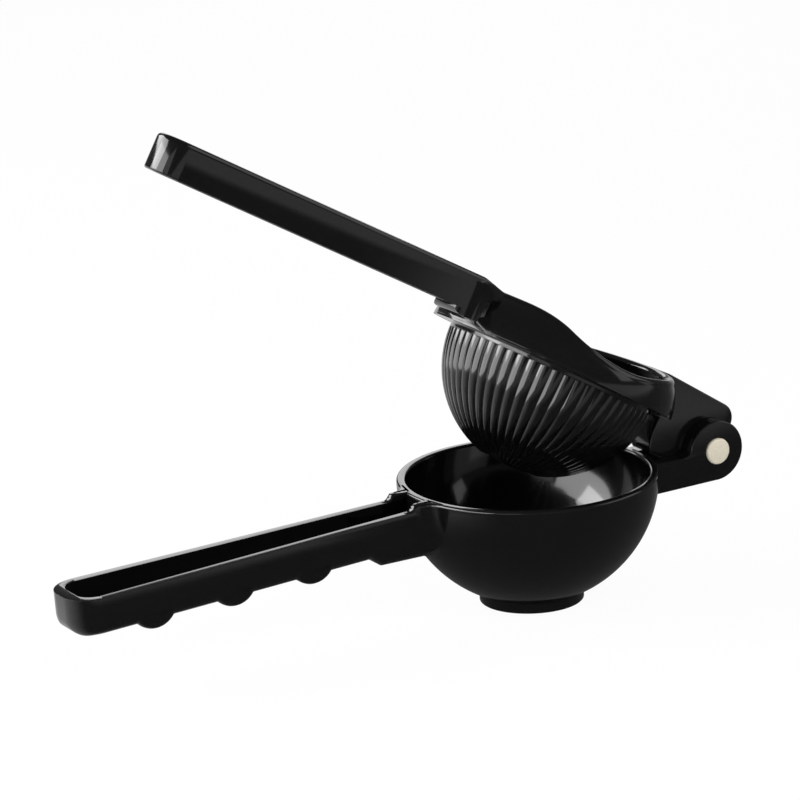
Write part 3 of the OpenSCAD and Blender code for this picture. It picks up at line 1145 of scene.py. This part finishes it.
        def on_top(at: Vector) -> bool:
            """Whether a place is on the flare's upper edge, outside handle and collar."""
            return at.z > 3.0 and at.y > side and at.xy.length > inside

        round_edges(wing, self.flare_edge_r, on_top, segments=5, angle=35)
        return wing

    def tongue(self) -> Piece:
        """The plate between the ears, with a round end about the rivet."""
        hx, hz = self.hinge.x, -self.hinge.below_rim
        top = self.collar_top - self.tongue_step
        end_x, end_top = hx + self.tongue_over, top - self.tongue_fall
        r = self.tongue_corner_r
        root = self.collar_radius(self.collar_top - self.collar_wall, self.collar_wall / 2)
        hub = math.degrees(math.acos(self.tongue_over / self.hub_r))
        web_r = hx - self.bowl_r - self.web_gap
        web_start = 180 - math.degrees(math.asin((self.rim_gap - hz) / web_r))
        web_end = 180 + math.degrees(math.asin((hz - self.web_low) / web_r))
        outline = [(root, self.edge_height(self.bowl_r - 3.5)), (self.collar_r - self.collar_wall / 2, top)]
        outline += arc(end_x - r, end_top - r, r, 90, 0, 10)
        outline += arc(hx, hz, self.hub_r, hub, -80, 20)
        outline += arc(hx, hz, web_r, web_end, web_start, 16) + [(root, self.rim_gap)]
        points = [Vector((x, -self.tongue_half, z)) for x, z in outline]
        plate = prism("tongue", points, Vector((0.0, 2 * self.tongue_half, 0.0)))
        round_edges(plate, self.tongue_edge_r, lambda at: at.x > root + 1.6, angle=60)
        return plate

    def build(self) -> Piece:
        """Models the casting closed, joins, dresses and opens it."""
        wing = self.wing()
        parts = [self.cup(), self.ridges(), self.collar(), self.handle(), self.shelf_block(), self.tongue()]
        whole = join("press_side_casting", parts + [wing, mirrored(wing)])
        place(whole, self.hinge.opened() @ raised(self.hinge.rim))
        dress(whole, self.enamel)
        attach(whole, "press_side")
        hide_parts("press_casting")
        return whole


@dataclass
class Rivet:
    """The rivet: a shank with a low domed head on each side."""

    hinge: Hinge
    plate: bpy.types.Material
    half: float
    shank_r: float = 2.6
    head_r: float = 3.6
    head_h: float = 1.5
    shy: float = 0.3
    edge_r: float = 0.55
    dome: float = 0.25

    def build(self) -> Piece:
        """Spins one half of the rivet about the hinge axis, mirrors and dresses it."""
        seat, face = self.half - self.head_h, self.half - self.shy
        shoulder = face - self.dome - self.edge_r
        break_r, flat = 0.15, self.head_r - self.edge_r
        outline = [(self.shank_r, 0.0), (self.shank_r, seat)]
        outline += [(self.head_r - break_r, seat), (self.head_r, seat + break_r)]
        outline += arc(flat, shoulder, self.edge_r, 0, 80, 5)
        outline += [(flat * s, face - self.dome * s**2) for s in (0.85, 0.6, 0.35, 0.0)]
        head = lathe("rivet", outline, 72, Turn.ACROSS)
        whole = join("rivet_turned", [head, mirrored(head)])
        tidy_shell(whole)
        place(whole, Matrix.Translation(Vector((self.hinge.x, 0.0, self.hinge.z)) * MM))
        dress(whole, self.plate)
        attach(whole, "bowl_side")
        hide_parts("hinge_rivet")
        return whole


@dataclass
class Studio:
    """A white table and sweep, soft lamps and the camera."""

    target: Vector
    azimuth: float = 30.57
    elevation: float = 16.84
    roll: float = 1.99
    distance: float = 1.2
    focal_px: float = 4512.0
    picture: float = 800.0
    rim_at: tuple[float, float] = (527.5, 473.0)
    white: str = "#ffffff"
    pale: str = "#f4f4f4"
    pale_roughness: float = 0.7
    seen_white: float = 0.95
    floor_width: float = 6.0
    sensor_mm: float = 36.0
    clip: tuple[float, float] = (0.05, 20.0)
    front_glow: tuple[float, float] = (0.075, 0.42)
    front_y: tuple[float, float] = (0.11, 0.24)
    back_glow: float = 0.8
    shade_r: tuple[float, float] = (0.05, 0.17)
    bright_azimuth: float = -152.0
    facing: tuple[float, float] = (-0.15, 0.9)
    sky_glow: float = 0.08

    def camera(self) -> None:
        """Sets the camera so that the rim's centre falls at rim_at in an 800 by 800 picture."""
        a, e, tilt = (math.radians(v) for v in (self.azimuth, self.elevation, self.roll))
        back = Vector((-math.sin(a) * math.cos(e), -math.cos(a) * math.cos(e), math.sin(e)))
        right = Vector((math.cos(a), -math.sin(a), 0.0))
        up = back.cross(right)
        turn = Matrix.Rotation(-tilt, 3, back)
        right, up = turn @ right, turn @ up
        off_x = self.picture / 2 - self.rim_at[0]
        off_y = self.rim_at[1] - self.picture / 2
        aim = (-back * self.focal_px + right * off_x + up * off_y).normalized()
        right = aim.cross(up).normalized()
        up = right.cross(aim).normalized()
        data = bpy.data.cameras.new("camera")
        data.sensor_width = self.sensor_mm
        data.lens = self.focal_px / self.picture * data.sensor_width
        data.clip_start, data.clip_end = self.clip
        camera = bpy.data.objects.new("camera", data)
        bpy.context.scene.collection.objects.link(camera)
        at = self.target + back * self.distance
        camera.matrix_world = Matrix((
            (right.x, up.x, -aim.x, at.x),
            (right.y, up.y, -aim.y, at.y),
            (right.z, up.z, -aim.z, at.z),
            (0.0, 0.0, 0.0, 1.0),
        ))
        bpy.context.scene.camera = camera

    def glow(self, material: bpy.types.Material) -> bpy.types.NodeSocket:
        """What a reflection finds on the floor, a painted glow: painted light towards one side, painted shade
        near the squeezer and little light in front.

        Args:
            material: the floor's material, which gets the nodes.

        Returns:
            The strength.
        """
        a = math.radians(self.bright_azimuth)
        bright, front = (-math.sin(a), math.cos(a), 0.0), (0.0, -1.0, 0.0)
        ray = add_node(material, "NewGeometry").outputs
        away = add_node(material, "VectorMath", operation="DOT_PRODUCT", in0=ray["Incoming"], in1=bright)
        apart = add_node(material, "VectorMath", operation="LENGTH", in0=ray["Position"])
        ahead = add_node(material, "VectorMath", operation="DOT_PRODUCT", in0=ray["Position"], in1=front)
        grades = (
            (away, self.facing, (0.0, 1.0)),
            # painted shade: reflections find the floor dark close to the squeezer
            (apart, self.shade_r, (0.0, 1.0)),
            (ahead, self.front_y, self.front_glow),
        )
        graded = []
        for node, (start, end), (low, high) in grades:
            grade = add_node(material, "MapRange", interpolation_type="SMOOTHSTEP")
            feed(grade, Value=node.outputs["Value"], From_Min=start, From_Max=end, To_Min=low, To_Max=high)
            graded.append(grade.outputs["Result"])
        both = add_node(material, "Math", operation="MULTIPLY", in0=graded[0], in1=graded[1])
        strength = add_node(material, "MapRange", Value=both.outputs["Value"])
        feed(strength, To_Min=graded[2], To_Max=self.back_glow)
        return strength.outputs["Result"]

    def backdrop_material(self) -> bpy.types.Material:
        """White to the camera, a painted glow with painted shade in reflections, a plain pale surface under
        light.
        """
        material = bpy.data.materials.new("white_sweep")
        material.use_nodes = True
        nodes = material.node_tree.nodes
        plain = feed(nodes["Principled BSDF"], Base_Color=linear(self.pale), Roughness=self.pale_roughness)
        white = add_node(material, "Emission", Color=linear(self.white), Strength=1.0)
        path = add_node(material, "LightPath").outputs
        by_camera, by_gloss = path["Is Camera Ray"], path["Is Glossy Ray"]
        share = add_node(material, "Math", operation="MULTIPLY", in0=by_camera, in1=self.seen_white)
        seen = add_node(material, "MixShader", Fac=share.outputs["Value"])
        feed(seen, in1=plain.outputs["BSDF"], in2=white.outputs["Emission"])
        graded = add_node(material, "Emission", Strength=self.glow(material))
        whole = add_node(material, "MixShader", Fac=by_gloss)
        feed(whole, in1=seen.outputs["Shader"], in2=graded.outputs["Emission"])
        feed(nodes["Material Output"], Surface=whole.outputs["Shader"])
        return material

    def floor(self) -> None:
        """A wide floor that the squeezer stands on."""
        object_mode()
        bpy.ops.mesh.primitive_plane_add(size=self.floor_width)
        floor = bpy.context.object
        floor.name = "floor"
        dress(floor, self.backdrop_material())

    def world(self) -> None:
        """A surround that is white to the camera and otherwise a dim room."""
        world = bpy.data.worlds.new("surround")
        bpy.context.scene.world = world
        world.use_nodes = True
        nodes = world.node_tree.nodes
        dim = feed(nodes["Background"], Color=linear(self.white), Strength=self.sky_glow)
        bright = add_node(world, "Background", Color=linear(self.white), Strength=1.0)
        path = add_node(world, "LightPath")
        mix = add_node(world, "MixShader", Fac=path.outputs["Is Camera Ray"])
        feed(mix, in1=dim.outputs["Background"], in2=bright.outputs["Background"])
        feed(nodes["World Output"], Surface=mix.outputs["Shader"])

    def softbox(
        self,
        name: str,
        azimuth: float,
        elevation: float,
        away: float,
        size: tuple[float, float],
        watts: float,
    ) -> Piece:
        """One soft lamp that looks at the squeezer.

        Args:
            name: the lamp's name.
            azimuth: where it stands, in degrees from the front, towards the right.
            elevation: degrees above the table.
            away: distance in metres.
            size: width and height in metres.
            watts: its power.

        Returns:
            The lamp.
        """
        a, e = math.radians(azimuth), math.radians(elevation)
        way = Vector((math.sin(a) * math.cos(e), -math.cos(a) * math.cos(e), math.sin(e)))
        data = bpy.data.lights.new(name, "AREA")
        data.shape = "RECTANGLE"
        data.energy, (data.size, data.size_y) = watts, size
        lamp = bpy.data.objects.new(name, data)
        bpy.context.scene.collection.objects.link(lamp)
        lamp.location = self.target + way * away
        lamp.rotation_euler = (-way).to_track_quat("-Z", "Y").to_euler()
        return lamp

    def build(self) -> None:
        """Sets the whole studio."""
        self.camera()
        self.floor()
        self.world()
        self.softbox("left_wall", -98.0, 17.5, 0.8, (1.1, 0.5), 7.0)
        self.softbox("left_panel", -47.0, 14.0, 1.0, (0.35, 0.5), 0.35)
        self.softbox("high_wall", -130.0, 33.0, 0.9, (1.1, 0.34), 6.5)
        self.softbox("back_panel", 149.0, 16.0, 1.0, (0.6, 0.3), 0.9)
        self.softbox("right_panel", 60.0, 24.0, 1.1, (0.9, 0.7), 1.6)
        fill = self.softbox("front_fill", 5.0, 35.0, 1.0, (0.8, 0.6), 8.0)
        fill.visible_glossy = False
        bpy.context.scene.view_settings.view_transform = "Standard"


def main() -> None:
    """Builds the squeezer and its studio, and reports each piece."""
    hinge = Hinge.from_frame()
    low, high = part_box("bowl_casting")
    rivet_low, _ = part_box("hinge_rivet")
    bowl_r = high.y / MM
    enamel, plate = Enamel().make(), RivetPlate().make()
    pieces = [
        BowlCasting(hinge, enamel, bowl_r=bowl_r, reach=-low.x / MM).build(),
        PressCasting(hinge, enamel, bowl_r=bowl_r).build(),
        Rivet(hinge, plate, half=-rivet_low.y / MM).build(),
    ]
    for piece in pieces:
        mesh = piece.data
        mesh.calc_loop_triangles()
        LOG.info("%s: %d vertices, %d triangles", piece.name, len(mesh.vertices), len(mesh.loop_triangles))
    Studio(target=Vector((0.0, 0.0, hinge.rim * MM))).build()


if __name__ == "__main__":
    main()
